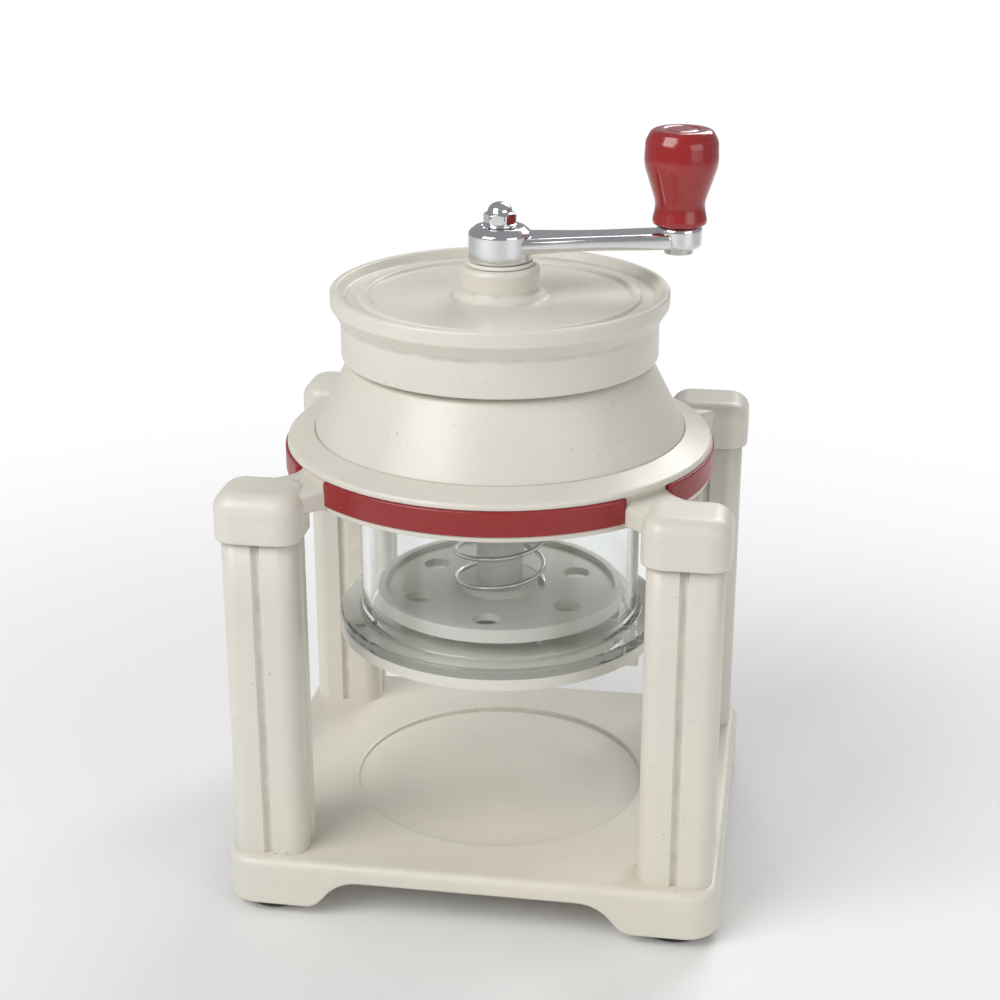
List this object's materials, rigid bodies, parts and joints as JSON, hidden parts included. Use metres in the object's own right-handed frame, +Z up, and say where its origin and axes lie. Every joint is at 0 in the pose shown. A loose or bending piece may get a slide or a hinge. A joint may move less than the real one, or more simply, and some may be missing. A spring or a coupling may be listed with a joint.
{
  "type": "hand cranked ice shaver",
  "caption": "Tabletop ice shaver: footed tray, corner posts, ice drum over a bladed floor, screw-on cover with crank, spindle and sprung presser",
  "frame": {"origin": "centre of the footprint, on the surface the rubber feet stand on", "axes": "+Z up along the spindle, +X to the right, front at -Y"},
  "size_m": [0.176, 0.154, 0.2679],
  "materials": {
    "body_plastic": "fine satin off-white moulding",
    "trim_plastic": "dark red satin moulding",
    "drum_plastic": "smoky clear moulding, lightly frosted",
    "plate_plastic": "off-white satin moulding",
    "foot_rubber": "matt black rubber",
    "seal_rubber": "pale grey rubber",
    "nylon": "natural nylon",
    "blade_steel": "ground stainless steel",
    "bright_steel": "drawn bright steel",
    "spring_steel": "oiled spring steel",
    "zinc_steel": "zinc plated steel",
    "chrome_plate": "polished chrome plate",
    "presser_plastic": "off-white satin moulding",
    "knob_plastic": "glossy dark red moulding"
  },
  "bodies": {
    "main": {"base_frame": "body_plastic", "foot_pad_front_left": "foot_rubber", "foot_pad_front_right": "foot_rubber", "foot_pad_rear_left": "foot_rubber", "foot_pad_rear_right": "foot_rubber", "post_front_left": "body_plastic", "post_front_right": "body_plastic", "post_rear_left": "body_plastic", "post_rear_right": "body_plastic", "tie_screws": "zinc_steel", "deck_ring": "body_plastic", "neck": "body_plastic", "collar_band": "trim_plastic", "ice_drum": "drum_plastic", "drum_screws": "zinc_steel", "floor_screws": "zinc_steel", "blade_plate": "plate_plastic", "shaving_blade": "blade_steel", "blade_holder": "plate_plastic", "blade_screws": "zinc_steel"},
    "washer": {"thrust_washer": "nylon"},
    "cover": {"cover": "body_plastic", "cover_ring": "body_plastic", "cover_seal": "seal_rubber", "spindle_bush": "nylon"},
    "crank": {"spindle": "bright_steel", "retaining_clip": "spring_steel", "spring_cup": "zinc_steel", "presser_spring": "spring_steel", "crank_arm": "chrome_plate", "hub_nut": "chrome_plate", "knob_pin": "bright_steel"},
    "presser": {"presser_plate": "presser_plastic", "presser_stem": "presser_plastic", "presser_spikes": "bright_steel", "stem_pin": "bright_steel"},
    "knob": {"crank_knob": "knob_plastic", "knob_cap": "knob_plastic"}
  },
  "joints": [
    {"name": "cover_lift", "type": "slide", "parent": "main", "child": "washer", "axis": [0, 0, 1], "range_m": [0, 0.1202]},
    {"name": "cover_turn", "type": "hinge", "parent": "washer", "child": "cover", "pos_m": [0, 0, 0.2], "axis": [0, 0, 1], "range_deg": [0, 1080]},
    {"name": "crank_turn", "type": "hinge", "parent": "washer", "child": "crank", "pos_m": [0, 0, 0.23], "axis": [0, 0, 1], "continuous": true},
    {"name": "presser_slide", "type": "slide", "parent": "crank", "child": "presser", "axis": [0, 0, 1], "range_m": [0, 0.04], "stiffness_N_per_m": 150, "springref_m": -0.03, "deforming": ["presser_spring"]},
    {"name": "knob_spin", "type": "hinge", "parent": "crank", "child": "knob", "pos_m": [0.06085, 0.01631, 0.25], "axis": [0, 0, 1], "continuous": true}
  ],
  "couplings": [
    {"joint": "cover_lift", "follows": "cover_turn", "m_per_rad": 0.0063662}
  ]
}
